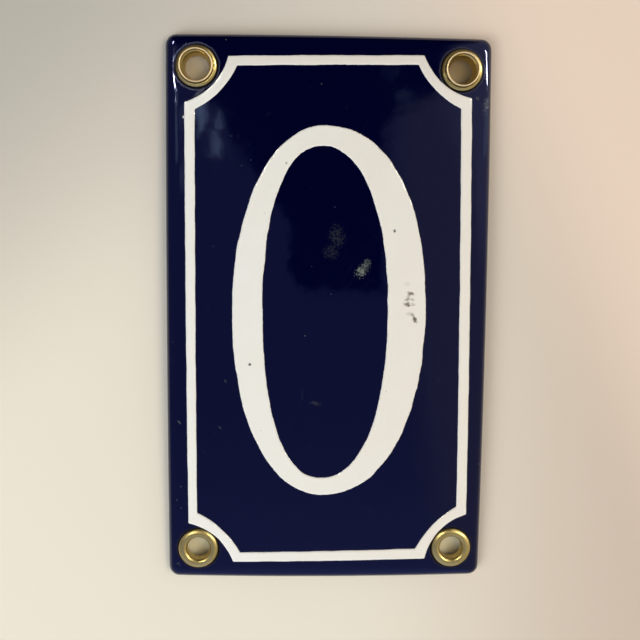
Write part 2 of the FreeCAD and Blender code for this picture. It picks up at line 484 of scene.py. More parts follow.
# %% [markdown]
# ### The digit
#
# The zero is two ovals that aren't quite symmetrical: each has its highest and lowest points left of
# its middle, and its four quarters swell a little differently. A quarter is |x/a|^n + |y/b|^n = 1,
# where n = 2 is an ellipse and more is squarer.

# %% The digit
zero_outside = {"left": -20.67, "right": 21.19, "top": 40.33, "bottom": -39.87, "apex": -0.98,
                "widest": 0.80, "swell": (2.22, 2.05, 2.12, 2.19)}
zero_inside = {"left": -14.07, "right": 12.96, "top": 36.03, "bottom": -35.95, "apex": -1.22,
               "widest": 0.68, "swell": (2.12, 2.30, 2.24, 2.25)}
zero_steps_along = 800
zero_steps_across = 18


def oval(sizes):
    """An oval of four quarters as a function of the share of one turn, anticlockwise from the right."""
    def at(turn):
        power = sizes["swell"][int(turn * 4) % 4]
        cosine, sine = math.cos(2 * math.pi * turn), math.sin(2 * math.pi * turn)
        across = (sizes["right"] if cosine > 0 else sizes["left"]) - sizes["apex"]
        along = (sizes["top"] if sine > 0 else sizes["bottom"]) - sizes["widest"]
        return (sizes["apex"] + across * abs(cosine) ** (2 / power),
                sizes["widest"] + along * abs(sine) ** (2 / power))
    return at


zero_mesh = lay_enamel(
    washer(zero_steps_along, zero_steps_across), oval(zero_outside), oval(zero_inside),
    ragged_outside=0.06, ragged_inside=0.055, seed=4.1)
print(f"digit: {len(zero_mesh.faces)} faces")

# %% [markdown]
# ## Brass eyelets
#
# An eyelet is one tube of thin brass: spread in front into a flange, and rolled over behind the
# sheet. The two lower flanges are plain domes. The two upper ones come from another lot: their tube
# ends in a narrow rolled lip, with a sloping shoulder outside it. Each section is drawn as a line of
# arcs and spun round the hole. A Bezier curve with a bevel would do as well, but a spin keeps each
# radius and height in plain sight.

# %% Lines and arcs of a section
eyelet_reach = 4.43
roll_level = -sheet_thickness - 0.35


def arc(centre, reach, start, end, steps):
    """Points (radius, height) on an oval arc; reach is its two radii, and the angles are in degrees."""
    angles = [math.radians(start + (end - start) * step / steps) for step in range(steps + 1)]
    return [(centre[0] + reach[0] * math.cos(angle), centre[1] + reach[1] * math.sin(angle))
            for angle in angles]


def bow(start, end, bulge, steps):
    """Points on a shallow curve; its middle stands off the straight line by bulge, to the right."""
    start, end = Vector(start), Vector(end)
    along = (end - start).normalized()
    aside = Vector((along.y, -along.x))
    shares = [step / steps for step in range(steps + 1)]
    return [tuple(start.lerp(end, share) + aside * bulge * 4 * share * (1 - share)) for share in shares]


# %% The eyelets' sections
flange_foot = [(4.20, 0.00), (4.40, 0.00), (4.425, 0.012), (4.43, 0.04)]
outside_lip = [(3.82, 0.79), (3.77, 0.76), (3.73, 0.70), (3.69, 0.68), (3.66, 0.72), (3.65, 0.82)]
lipped_front = (flange_foot + bow((4.43, 0.10), (3.88, 0.78), 0.17, 10) + outside_lip
                + arc((3.45, 1.01), (0.21, 0.21), -25, 190, 18)
                + bow((3.17, 0.86), (3.02, 0.62), -0.02, 3) + bow((2.99, 0.50), (2.50, -1.35), 0.05, 10))
domed_front = (flange_foot + arc((3.30, 0.15), (1.13, 0.85), 0, 89, 16)
               + arc((3.30, 0.10), (0.80, 0.90), 91, 176, 14) + [(2.50, -0.40), (2.50, -0.90)])
rear_roll = (arc((3.10, roll_level), (0.60, 0.60), 180, 360, 14)
             + [(3.70, -sheet_thickness - 0.03), (3.67, -sheet_thickness), (3.44, -sheet_thickness),
                (3.40, -sheet_thickness - 0.04)]
             + arc((3.10, roll_level), (0.30, 0.30), 0, -180, 8) + [(2.80, -1.0), (2.82, -0.5)])
under_lip = [(2.89, -0.05), (3.00, 0.20), (3.17, 0.62), (3.30, 0.86), (3.42, 0.98),
             (3.56, 0.84), (3.76, 0.52), (3.98, 0.34), (4.10, 0.10)]
under_dome = arc((3.30, 0.10), (0.50, 0.60), 178, 92, 7) + arc((3.30, 0.15), (0.83, 0.55), 88, 8, 8)
eyelet_sections = {"top": lipped_front + rear_roll + under_lip,
                   "bottom": domed_front + rear_roll + under_dome}
eyelet_steps = 96
valley_radius = 3.71
valley_width = 0.07
dent_depth = 0.018
# The upper pair's flanges are darker towards the upper left
darker_towards = Vector((-0.6, 0.8))
# The upper pair's lips were rolled a little off centre
lip_shifts = {"eyelet_top_left": Vector((-0.12, 0.13)), "eyelet_top_right": Vector((0.14, 0.12))}


def make_eyelet(name, seed):
    """The section spun round the hole, with a few soft dents and a slightly uneven flange."""
    centre = eyelet_centres[name]
    lipped = "top" in name
    section = eyelet_sections[name.split("_")[1]]
    mesh = bmesh.new()
    points = [mesh.verts.new((centre.x + radius, centre.y, seat_level + height))
              for radius, height in section]
    edges = [mesh.edges.new(pair) for pair in zip(points, points[1:] + points[:1])]
    bmesh.ops.spin(mesh, geom=points + edges, cent=centre, axis=(0, 0, 1), angle=2 * math.pi,
                   steps=eyelet_steps, use_merge=True)
    soil_and_shade = mesh.verts.layers.float.new("soil_and_shade")
    rubbed_and_lit = mesh.verts.layers.float.new("rubbed_and_lit")
    for point in mesh.verts:
        radius = (point.co.xy - centre.xy).length
        height = point.co.z - seat_level
        front = ease(-0.3, 0.4, height)
        valley = math.exp(-((radius - valley_radius) / valley_width) ** 2) * front if lipped else 0
        # Painted shade at the flange's foot, where it meets the plate
        foot = (1 - ease(0.0, 0.3, height)) * ease(4.0, 4.3, radius)
        # The upper pair is darker towards the upper left
        away = (point.co.xy - centre.xy).dot(darker_towards) / radius
        darker_side = ease(-0.2, 0.75, away) * ease(3.65, 3.9, radius) * front if lipped else 0
        point[soil_and_shade] = min(valley + foot + darker_side, 1)
        # The lip's crest is painted pale: partly wear, partly a painted highlight
        point[rubbed_and_lit] = ease(1.08, 1.2, height) if lipped else 0
        dent = dent_depth * front * ease(3.0, 3.4, radius) * (1 - ease(4.25, eyelet_reach, radius))
        point.co.z += dent * (ripple(point.co.x, point.co.y, 1.4, seed) - 0.3)
        if name in lip_shifts:
            point.co.xy += lip_shifts[name] * ease(0.3, 1.0, height) * (1 - ease(3.7, 3.95, radius))
    return mesh


eyelet_meshes = {name: make_eyelet(name, 2.9 * index + 0.7) for index, name in enumerate(eyelet_names)}
print("eyelets:", {name: len(mesh.faces) for name, mesh in eyelet_meshes.items()})

# %% [markdown]
# ## Helpers for materials
#
# All materials are node trees. The helpers below each add nodes with their values and links in one
# line. Each material reads Object coordinates, turned into millimetres, so that the numbers in
# it are real sizes and every pattern stays in place on its piece.


# %% Helpers for materials
def add(tree, kind, inputs=None, **settings):
    """Adds a node; an input given as a socket is linked, and any other is a value."""
    made = tree.nodes.new(kind)
    for name, value in settings.items():
        setattr(made, name, value)
    for key, value in (inputs or {}).items():
        if isinstance(value, bpy.types.NodeSocket):
            tree.links.new(value, made.inputs[key])
        else:
            made.inputs[key].default_value = value
    return made


def calc(tree, operation, *values, clamp=False):
    """The output of one Math node."""
    made = add(tree, "ShaderNodeMath", dict(enumerate(values)), operation=operation, use_clamp=clamp)
    return made.outputs[0]


def vector_calc(tree, operation, *values):
    """The vector output of one Vector Math node."""
    made = add(tree, "ShaderNodeVectorMath", dict(enumerate(values)), operation=operation)
    return made.outputs[0]


def total(tree, value, *extras):
    """The value with each extra added, which is a socket and the share of it that counts."""
    for socket, share in extras:
        value = calc(tree, "ADD", value, calc(tree, "MULTIPLY", socket, share))
    return value


def step_mask(tree, value, low, high):
    """0 where the value is at low, 1 where it is at high, and a soft step between."""
    made = add(tree, "ShaderNodeMapRange", {"Value": value, "From Min": low, "From Max": high},
               interpolation_type="SMOOTHSTEP")
    return made.outputs["Result"]


def tint(tree, mask, first, second, share=None):
    """The first colour where the mask is 0 and the second, or a share of it, where it is 1."""
    if share is not None:
        mask = calc(tree, "MULTIPLY", mask, share)
    made = add(tree, "ShaderNodeMix", {0: mask, 6: first, 7: second}, data_type="RGBA")
    return made.outputs[2]


def cloud(tree, place, spacing, detail=2.0, roughness=0.5):
    """Soft random values about one spacing wide."""
    made = add(tree, "ShaderNodeTexNoise", {"Vector": place, "Scale": 1 / spacing, "Detail": detail,
                                            "Roughness": roughness})
    return made.outputs["Fac"]


def attribute(tree, name):
    """One of the values that the mesh carries at its points."""
    made = add(tree, "ShaderNodeAttribute", attribute_name=name, attribute_type="GEOMETRY")
    return made.outputs["Fac"]


def new_group(name, inputs, outputs):
    """An empty node group; returns it with the sockets that it gives and those that it takes."""
    tree = bpy.data.node_groups.new(name, "ShaderNodeTree")
    for socket, kind, value in inputs:
        made = tree.interface.new_socket(name=socket, in_out="INPUT", socket_type="NodeSocket" + kind)
        if value is not None:
            made.default_value = value
    for socket, kind in outputs:
        tree.interface.new_socket(name=socket, in_out="OUTPUT", socket_type="NodeSocket" + kind)
    return tree, tree.nodes.new("NodeGroupInput").outputs, tree.nodes.new("NodeGroupOutput").inputs


def placed(tree, group, output, **inputs):
    """Places a group with its inputs, whose names have underscores for spaces, and gives one output."""
    values = {name.replace("_", " "): value for name, value in inputs.items()}
    return add(tree, "ShaderNodeGroup", values, node_tree=group).outputs[output]


def new_material(name):
    """A material with its shader, and Object coordinates in millimetres."""
    material = bpy.data.materials.new(name)
    material.use_nodes = True
    tree = material.node_tree
    place = add(tree, "ShaderNodeMapping", {"Vector": add(tree, "ShaderNodeTexCoord").outputs["Object"],
                                            "Scale": (1 / MM, 1 / MM, 1 / MM)})
    return material, tree, tree.nodes["Principled BSDF"], place.outputs[0]


def join_up(tree, shader, base, roughness, height, depth):
    """Joins colour, roughness and a bump, with its depth in millimetres, to the shader."""
    bump = add(tree, "ShaderNodeBump", {"Height": height, "Distance": depth * MM, "Strength": 1.0})
    tree.links.new(base, shader.inputs["Base Color"])
    tree.links.new(roughness, shader.inputs["Roughness"])
    tree.links.new(bump.outputs[0], shader.inputs["Normal"])


# %% [markdown]
# ## Shared effects
#
# Four effects turn up in more than one finish, so each is a node group. Specks are dust or pinholes:
# the inside of small cells, of which only a share is kept. Hairlines are scratches: the narrow band
# where a stretched cloud crosses its middle value. A mark is one ragged spot at a given place. Glaze
# is the very slight unevenness that fired glass keeps.

# %% Specks
specks, given, result = new_group(
    "specks", [("Place", "Vector", None), ("Spacing", "Float", 2.0), ("Size", "Float", 0.1),
               ("Share", "Float", 0.3)], [("Mask", "Float")])
cells = add(specks, "ShaderNodeTexVoronoi", {
    "Vector": given["Place"], "Scale": calc(specks, "DIVIDE", 1.0, given["Spacing"])})
cell_size = calc(specks, "DIVIDE", given["Size"], given["Spacing"])
from_middle = calc(specks, "DIVIDE", cells.outputs["Distance"], cell_size)
inside_cell = calc(specks, "SUBTRACT", 1.0, from_middle, clamp=True)
cell_pick = add(specks, "ShaderNodeSeparateColor", {"Color": cells.outputs["Color"]}).outputs[0]
kept = calc(specks, "LESS_THAN", cell_pick, given["Share"])
speck = calc(specks, "MULTIPLY", step_mask(specks, inside_cell, 0.0, 0.45), kept)
specks.links.new(speck, result["Mask"])

# %% Hairlines
hairlines, given, result = new_group(
    "hairlines", [("Place", "Vector", None), ("Turn", "Vector", (0, 0, 0)), ("Spacing", "Float", 6.0),
                  ("Width", "Float", 0.01), ("Share", "Float", 0.4)], [("Mask", "Float")])
turned = add(hairlines, "ShaderNodeMapping", {
    "Vector": given["Place"], "Rotation": given["Turn"]}).outputs[0]
stretched = vector_calc(hairlines, "MULTIPLY", turned, (1.0, 0.12, 1.0))
scale = calc(hairlines, "DIVIDE", 1.0, given["Spacing"])
waves = add(hairlines, "ShaderNodeTexNoise", {"Vector": stretched, "Scale": scale, "Detail": 1.0})
band = calc(hairlines, "ABSOLUTE", calc(hairlines, "SUBTRACT", waves.outputs["Fac"], 0.5))
off_line = calc(hairlines, "DIVIDE", band, given["Width"])
line = calc(hairlines, "SUBTRACT", 1.0, off_line, clamp=True)
patches = add(hairlines, "ShaderNodeTexNoise", {"Vector": turned, "Scale": scale, "Detail": 3.0})
patch = step_mask(hairlines, patches.outputs["Fac"],
                  *(calc(hairlines, "SUBTRACT", top, given["Share"]) for top in (1.0, 1.08)))
hairlines.links.new(calc(hairlines, "MULTIPLY", line, patch), result["Mask"])

# %% Marks
marks, given, result = new_group(
    "marks", [("Place", "Vector", None), ("Centre", "Vector", (0, 0, 0)), ("Reach", "Vector", (1, 1, 1)),
              ("Turn", "Float", 0.0), ("Ragged", "Float", 0.5)], [("Mask", "Float")])
from_centre = vector_calc(marks, "SUBTRACT", given["Place"], given["Centre"])
level_only = vector_calc(marks, "MULTIPLY", from_centre, (1, 1, 0))
leaning = add(marks, "ShaderNodeVectorRotate", {"Vector": level_only, "Angle": given["Turn"]},
              rotation_type="Z_AXIS")
shares = vector_calc(marks, "DIVIDE", leaning.outputs[0], given["Reach"])
distance = add(marks, "ShaderNodeVectorMath", {0: shares}, operation="LENGTH").outputs["Value"]
tatters = add(marks, "ShaderNodeTexNoise", {
    "Vector": given["Place"], "Scale": 2.6, "Detail": 4.0}).outputs["Fac"]
torn = calc(marks, "MULTIPLY", calc(marks, "SUBTRACT", tatters, 0.5), given["Ragged"])
marks.links.new(step_mask(marks, calc(marks, "ADD", distance, torn), 1.0, 0.35), result["Mask"])

# %% Glaze
glaze, given, result = new_group(
    "glaze", [("Place", "Vector", None), ("Spacing", "Float", 4.0), ("Fine Share", "Float", 0.2)],
    [("Height", "Float")])
slow, fine = (add(glaze, "ShaderNodeTexNoise", {
    "Vector": given["Place"], "Scale": calc(glaze, "DIVIDE", waves, given["Spacing"]),
    "Detail": 1.0}).outputs["Fac"] for waves in (1.0, 6.0))
glaze.links.new(total(glaze, slow, (fine, given["Fine Share"])), result["Height"])
print("groups:", [group.name for group in (specks, hairlines, marks, glaze)])

# %% [markdown]
# ## Blue enamel
#
# Cobalt glass over steel: nearly black blue, with a mirror gloss. What makes it look real is what
# lies on it: dust, hairline scratches, two chalky smudges and a faint haze, each of which is paler
# and rougher than clean glass. A faint pale streak on the right rim is a painted highlight, and the
# seats round the eyelets get a painted shade, nearly black and dull. The back got only the ground
# coat, which is darker and duller.

# %% Blue enamel
navy = (0.0004, 0.0008, 0.0175, 1)
ground_coat = (0.004, 0.0042, 0.009, 1)
dust_grey = (0.16, 0.17, 0.22, 1)
chalk_and_highlight_grey = (0.22, 0.25, 0.20, 1)
spill_and_highlight_white = (0.80, 0.79, 0.74, 1)
pit_and_shade_black = (0.004, 0.003, 0.006, 1)
blue_marks = (
    # middle, reach, turn, raggedness, colour, strength
    ((7.2, 9.6), (1.4, 1.9), 0.7, 1.8, chalk_and_highlight_grey, 0.85),
    ((8.3, 11.3), (1.0, 1.1), 0.0, 1.8, chalk_and_highlight_grey, 0.4),
    ((1.8, 17.0), (2.1, 2.8), -0.2, 1.7, chalk_and_highlight_grey, 0.10),
    ((0.5, 13.6), (2.1, 1.9), 0.3, 1.7, chalk_and_highlight_grey, 0.08),
    ((-2.5, -19.3), (1.6, 0.6), 0.2, 1.6, chalk_and_highlight_grey, 0.1),
    # Painted highlight: a faint pale streak on the right rim, below the glint line
    ((33.8, 45.4), (0.8, 1.6), 0.1, 1.2, spill_and_highlight_white, 0.12),
    ((-27.6, 47.0), (1.9, 0.5), -0.6, 1.0, spill_and_highlight_white, 0.07),
    # Painted highlight: more of the same pale streak on the right rim
    ((33.4, 44.8), (0.9, 2.8), 0.1, 1.8, chalk_and_highlight_grey, 0.12),
    ((-32.2, -23.8), (0.22, 0.7), -0.7, 0.8, chalk_and_highlight_grey, 0.3),
    ((-22.1, -14.5), (0.22, 0.5), -0.6, 0.8, chalk_and_highlight_grey, 0.16),
    ((-23.3, -24.9), (0.2, 0.6), -0.8, 0.8, chalk_and_highlight_grey, 0.16),
    ((-4.9, -4.5), (0.2, 0.2), 0.0, 0.3, chalk_and_highlight_grey, 0.4),
    ((-1.8, 49.0), (0.22, 0.22), 0.0, 0.3, chalk_and_highlight_grey, 0.25),
    ((-22.0, 58.0), (0.2, 0.2), 0.0, 0.3, chalk_and_highlight_grey, 0.35),
    ((31.7, 46.6), (0.5, 0.45), 0.0, 0.5, chalk_and_highlight_grey, 0.25),
    # A real pit, in the same near black as the painted seat shade
    ((31.7, 46.6), (0.3, 0.26), 0.0, 0.4, pit_and_shade_black, 1.0),
    ((-32.0, -38.3), (0.25, 0.2), 0.0, 0.5, chalk_and_highlight_grey, 0.2),
    ((-32.9, -41.4), (0.3, 0.3), 0.0, 0.9, chalk_and_highlight_grey, 0.12),
    ((-32.0, -43.2), (0.22, 0.2), 0.0, 0.5, chalk_and_highlight_grey, 0.22),
    ((-32.7, -56.3), (0.6, 0.4), 0.5, 1.5, chalk_and_highlight_grey, 0.16),
    ((34.1, -33.3), (0.2, 0.25), 0.0, 0.5, chalk_and_highlight_grey, 0.2),
    ((-18.6, 31.7), (0.4, 0.2), -0.4, 0.8, chalk_and_highlight_grey, 0.08),
    ((-20.9, 37.9), (0.5, 0.25), 0.5, 0.9, chalk_and_highlight_grey, 0.06),
    ((-31.0, 41.8), (0.2, 0.4), 0.0, 0.6, spill_and_highlight_white, 0.9))

blue_enamel, tree, shader, place = new_material("blue_enamel")
facing = add(tree, "ShaderNodeNewGeometry").outputs["Normal"]
facing_up = add(tree, "ShaderNodeSeparateXYZ", {"Vector": facing}).outputs["Z"]
facing_back = step_mask(tree, facing_up, -0.1, -0.6)
base = tint(tree, facing_back, navy, ground_coat)
dust = placed(tree, specks, "Mask", Place=place, Spacing=4.3, Size=0.17, Share=0.3)
fine_dust = placed(tree, specks, "Mask", Place=place, Spacing=1.9, Size=0.08, Share=0.25)
scratches = calc(tree, "MAXIMUM", *(
    placed(tree, hairlines, "Mask", Place=place, Turn=(0, 0, turn), Spacing=spacing, Width=0.006,
           Share=0.42) for turn, spacing in ((0.5, 7.0), (-0.9, 5.0))))
for mask, strength in ((dust, 0.22), (fine_dust, 0.14), (scratches, 0.02)):
    base = tint(tree, mask, base, dust_grey, strength)
smudge_fibres = cloud(tree, place, 0.45, detail=3.0, roughness=0.7)
fibre_mask = step_mask(tree, smudge_fibres, 0.38, 0.62)
soiled = calc(tree, "MULTIPLY", scratches, 0.1)
for middle, reach, turn, ragged, colour, strength in blue_marks:
    mark = placed(tree, marks, "Mask", Place=place, Centre=(*middle, 0), Reach=(*reach, 1),
                  Turn=turn, Ragged=ragged)
    if ragged > 1:
        mark = calc(tree, "MULTIPLY", mark, fibre_mask)
    mark = calc(tree, "MULTIPLY", mark, strength)
    base = tint(tree, mark, base, colour)
    soiled = calc(tree, "MAXIMUM", soiled, mark)
# Painted shade: the blue is darkened and dulled in the seats, all round the flanges
axes = add(tree, "ShaderNodeSeparateXYZ", {"Vector": place}).outputs
from_hole = calc(tree, "SQRT", calc(tree, "ADD", *(
    calc(tree, "POWER", calc(tree, "SUBTRACT", calc(tree, "ABSOLUTE", axes[axis]), middle), 2.0)
    for axis, middle in (("X", eyelet_x), ("Y", eyelet_y)))))
painted_seat_shade = step_mask(tree, total(tree, from_hole, (cloud(tree, place, 1.0), 0.6)), 5.5, 5.0)
base = tint(tree, painted_seat_shade, base, pit_and_shade_black)
haze = step_mask(tree, cloud(tree, place, 14.0, detail=4.0, roughness=0.6), 0.45, 0.75)
roughness = total(tree, 0.045, (haze, 0.035), (painted_seat_shade, 0.55), (soiled, 0.3), (facing_back, 0.3))
glaze_height = placed(tree, glaze, "Height", Place=place, Spacing=5.0, Fine_Share=0.05)
height = total(tree, glaze_height, (calc(tree, "MAXIMUM", dust, fine_dust), 0.5))
join_up(tree, shader, base, roughness, height, 0.02)
shader.inputs["IOR"].default_value = 1.52
shader.inputs["Specular Tint"].default_value = (0.47, 0.52, 1.0, 1)
print("blue enamel:", len(tree.nodes), "nodes")

# %% [markdown]
# ## White enamel
#
# Opaque cream-white glass, thinner at its very edge, where the blue below shines through. Painted
# light makes it cooler and lighter towards the left, and painted shade dulls it at the top. It has
# soft mottling, a few pinholes that go down to the blue, and some short dark rub marks on the right
# stroke. Pinholes and rubs are all marks, the first small and round, the second longer and more torn.

# %% White enamel
cream_white = (0.83, 0.78, 0.685, 1)
cool_mottle_and_lit_white = (0.855, 0.855, 0.79, 1)
top_shade_white = (0.73, 0.68, 0.61, 1)
thin_edge = (0.26, 0.28, 0.36, 1)
pinhole_dark = (0.03, 0.03, 0.035, 1)
pinhole_brown = (0.33, 0.27, 0.2, 1)
scuff_brown = (0.15, 0.125, 0.085, 1)
white_marks = (
    # middle, reach, turn, raggedness, colour, strength
    ((-16.8, -10.8), (0.42, 0.42), 0, 0.5, pinhole_dark, 1.0),
    ((14.15, 18.2), (0.40, 0.50), 0, 0.5, pinhole_dark, 0.9),
    ((-9.1, 32.3), (0.34, 0.34), 0, 0.5, pinhole_brown, 0.9),
    ((-13.6, 21.7), (0.22, 0.22), 0, 0.5, pinhole_brown, 0.45),
    ((-14.4, -25.4), (0.18, 0.18), 0, 0.5, pinhole_brown, 0.5),
    ((12.9, -16.6), (0.15, 0.45), 0, 0.5, pinhole_brown, 0.5),
    ((17.9, 4.8), (1.05, 0.48), 0.1, 1.6, scuff_brown, 0.9),
    ((17.4, 4.3), (0.5, 0.8), 0.3, 1.6, scuff_brown, 0.4),
    ((17.2, 3.5), (0.85, 0.45), -0.3, 1.6, scuff_brown, 0.65),
    ((18.2, 3.5), (0.8, 0.4), 0.2, 1.6, scuff_brown, 0.4),
    ((17.2, 2.4), (1.0, 0.62), 0.2, 1.6, scuff_brown, 0.9),
    ((18.3, 2.4), (0.8, 0.5), 0.0, 1.6, scuff_brown, 0.35),
    ((18.9, -0.9), (0.6, 0.9), -0.5, 1.4, scuff_brown, 1.0),
    ((18.4, 0.1), (0.5, 0.8), -0.7, 1.4, scuff_brown, 0.55),
    ((17.8, 0.4), (1.1, 0.6), 0.0, 1.4, scuff_brown, 0.25),
    ((17.0, 6.8), (0.9, 0.6), 0.0, 1.4, scuff_brown, 0.15))

white_enamel, tree, shader, place = new_material("white_enamel")
mottle = step_mask(tree, cloud(tree, place, 6.0, detail=4.0, roughness=0.6), 0.35, 0.65)
axes = add(tree, "ShaderNodeSeparateXYZ", {"Vector": place}).outputs
# Painted light: cooler and lighter towards the left, mixed with the random mottling
lit_left_side = step_mask(tree, axes["X"], 40.0, -40.0)
lit_left_and_mottle = total(tree, calc(tree, "MULTIPLY", lit_left_side, 0.8), (mottle, 0.2))
base = tint(tree, lit_left_and_mottle, cream_white, cool_mottle_and_lit_white)
# Painted shade: duller towards the top
base = tint(tree, step_mask(tree, axes["Y"], 46.0, 58.0), base, top_shade_white, 0.7)
from_edge = total(tree, attribute(tree, "from_edge"), (cloud(tree, place, 0.5), 0.09))
base = tint(tree, step_mask(tree, from_edge, 0.1, 0.02), base, thin_edge, 0.8)
freckles = placed(tree, specks, "Mask", Place=place, Spacing=5.5, Size=0.16, Share=0.22)
base = tint(tree, freckles, base, pinhole_brown, 0.35)
pits = freckles
for middle, reach, turn, ragged, colour, strength in white_marks:
    mark = placed(tree, marks, "Mask", Place=place, Centre=(*middle, 0), Reach=(*reach, 1),
                  Turn=turn, Ragged=ragged)
    mark = calc(tree, "MULTIPLY", mark, strength)
    base = tint(tree, mark, base, colour)
    pits = calc(tree, "MAXIMUM", pits, mark)
fine_scratches = placed(tree, hairlines, "Mask", Place=place, Turn=(0, 0, 0.2), Spacing=5.0,
                        Width=0.006, Share=0.4)
base = tint(tree, fine_scratches, base, pinhole_brown, 0.12)
roughness = total(tree, 0.06, (cloud(tree, place, 3.0), 0.06), (pits, 0.35))
glaze_height = placed(tree, glaze, "Height", Place=place, Spacing=2.6, Fine_Share=0.3)
join_up(tree, shader, base, roughness, total(tree, glaze_height, (pits, -1.5)), 0.03)
shader.inputs["IOR"].default_value = 1.52
print("white enamel:", len(tree.nodes), "nodes")

# %% [markdown]
# ## Brass
#
# Rolled brass that has dulled. The meshes carry two attributes. The first is 1 where the metal is
# darkened: dirt in the valley round the lip, a painted shade at the flange's foot where it meets the
# plate, and the upper-left side of the upper pair. There the metal is olive brown, and a cloud breaks
# up the border. The second is 1 on the crest of a rolled lip, which is painted pale and made slightly
# rough, partly as wear and partly as a painted highlight, so that it shines all round.

# %% Brass
gold = (0.60, 0.47, 0.19, 1)
olive_brown = (0.15, 0.11, 0.045, 1)
rubbed_lit_gold = (0.80, 0.64, 0.41, 1)

brass, tree, shader, place = new_material("brass")
patches = calc(tree, "SUBTRACT", cloud(tree, place, 1.1, detail=3.0, roughness=0.55), 0.5)
# Olive brown over the dirt in the valley, the painted shade at the foot and the darker side
brown_and_shade = step_mask(tree, total(tree, attribute(tree, "soil_and_shade"), (patches, 1.1)), 0.1, 0.95)
base = tint(tree, brown_and_shade, gold, olive_brown)
pits = placed(tree, specks, "Mask", Place=place, Spacing=0.5, Size=0.07, Share=0.4)
rubs = placed(tree, hairlines, "Mask", Place=place, Turn=(0, 0, 0.8), Spacing=0.8, Width=0.03, Share=0.6)
base = tint(tree, pits, base, olive_brown, 0.6)
rubbed_and_lit = attribute(tree, "rubbed_and_lit")
# The pale crest of the lip: partly wear, partly a painted highlight
base = tint(tree, rubbed_and_lit, base, rubbed_lit_gold)
# The lower pair is from another lot: smoother and a little duller
lower = step_mask(tree, add(tree, "ShaderNodeSeparateXYZ", {"Vector": place}).outputs["Y"], 10.0, -10.0)
roughness = total(tree, 0.28, (lower, 0.06), (brown_and_shade, 0.3), (rubbed_and_lit, 0.25), (rubs, 0.08))
dints = total(tree, cloud(tree, place, 0.35, detail=3.0), (pits, -1.0), (rubs, -0.3))
dints = calc(tree, "MULTIPLY", dints, total(tree, 1.0, (lower, -0.6)))
join_up(tree, shader, base, roughness, dints, 0.005)
shader.inputs["Metallic"].default_value = 1.0
print("brass:", len(tree.nodes), "nodes")

# %% Finish the pieces
finish_piece(plate_mesh, "enamelled_sheet", "enamelled_plate", [blue_enamel])
finish_piece(border_mesh, "border_enamel", "border_line", [white_enamel])
finish_piece(zero_mesh, "digit_enamel", "digit_zero", [white_enamel])
for name, mesh in eyelet_meshes.items():
    finish_piece(mesh, name.replace("eyelet", "brass_eyelet"), name, [brass])

# %% [markdown]
# ## Floor and light
#
# The plaque lies on a pale sheet whose colour carries painted light and shade: darker and warmer
# towards the right and far off, with a lit patch towards the upper right, darkest at the top left,
# and painted shade under the plate. Two kinds of lamp light it. The room lamps are wide and only
# matt surfaces take their light, so they set the level and the soft shadow at the left without a
# mirror image. The glint lamps are small and only gloss shows them: they draw the white lines on the
# rounded rim and the sparks on the brass. All else that the glossy dome mirrors is the world, a soft
# tent with a dark opening above the top of the plate and a dim window of a few panes at its left.

# %% Floor
floor_reach = 1.5
floor_colour = (0.80, 0.745, 0.62, 1)
shaded_far_colour = (0.70, 0.635, 0.55, 1)
shaded_warm_right_colour = (0.64, 0.53, 0.43, 1)
shaded_corner_colour = (0.47, 0.45, 0.39, 1)
lit_patch_colour = (0.84, 0.68, 0.545, 1)
lit_low_under_colour = (0.92, 0.88, 0.66, 1)
shaded_high_under_colour = (0.63, 0.54, 0.40, 1)
shaded_under_corner_colour = (0.34, 0.25, 0.13, 1)

floor_material, tree, shader, place = new_material("pale_sheet")
axes = add(tree, "ShaderNodeSeparateXYZ", {"Vector": place}).outputs
# Painted light and shade on the sheet: darker far off and to the right, a lit patch towards the upper
# right, and shade at the top left
floor_tone = tint(tree, step_mask(tree, axes["Y"], -20.0, 90.0), floor_colour, shaded_far_colour)
floor_tone = tint(tree, step_mask(tree, axes["X"], 0.0, 75.0), floor_tone, shaded_warm_right_colour)
to_lit_patch = total(tree, axes["X"], (axes["Y"], 0.5))
floor_tone = tint(tree, step_mask(tree, to_lit_patch, 42.0, 82.0), floor_tone, lit_patch_colour)
to_shaded_corner = calc(tree, "SUBTRACT", axes["Y"], axes["X"])
floor_tone = tint(tree, step_mask(tree, to_shaded_corner, 40.0, 140.0), floor_tone, shaded_corner_colour)
# Through the four bores one sees the sheet under the plate; its colour there is painted light and
# shade, lighter under the lower holes and darker under the upper ones
under = calc(tree, "MULTIPLY", step_mask(tree, calc(tree, "ABSOLUTE", axes["X"]), 33.0, 32.0),
             step_mask(tree, calc(tree, "ABSOLUTE", axes["Y"]), 57.0, 56.0))
painted_under_light = tint(tree, step_mask(tree, axes["Y"], -20.0, 20.0), lit_low_under_colour, shaded_high_under_colour)
floor_tone = tint(tree, under, floor_tone, painted_under_light)
# Painted shade, darkest under the upper right hole
near_corner = step_mask(tree, calc(tree, "ADD", axes["X"], axes["Y"]), 70.0, 83.0)
floor_tone = tint(tree, calc(tree, "MULTIPLY", under, near_corner), floor_tone, shaded_under_corner_colour)
tree.links.new(floor_tone, shader.inputs["Base Color"])
shader.inputs["Roughness"].default_value = 0.7
floor_mesh = bmesh.new()
bmesh.ops.create_grid(floor_mesh, x_segments=1, y_segments=1, size=floor_reach)
floor_data = bpy.data.meshes.new("floor")
floor_mesh.to_mesh(floor_data)
floor_mesh.free()
floor_data.materials.append(floor_material)
floor = bpy.data.objects.new("floor", floor_data)
bpy.context.scene.collection.objects.link(floor)
print("floor", floor_reach * 2, "m wide")

# %% World
tent_colour = (0.21, 0.22, 0.30, 1)
near_colour = (0.50, 0.56, 0.76, 1)
right_colour = (0.48, 0.45, 0.38, 1)
far_right_colour = (0.78, 0.74, 0.70, 1)
opening_colour = (0.006, 0.006, 0.006, 1)
pane_colour = (2.1, 2.6, 2.3, 1)
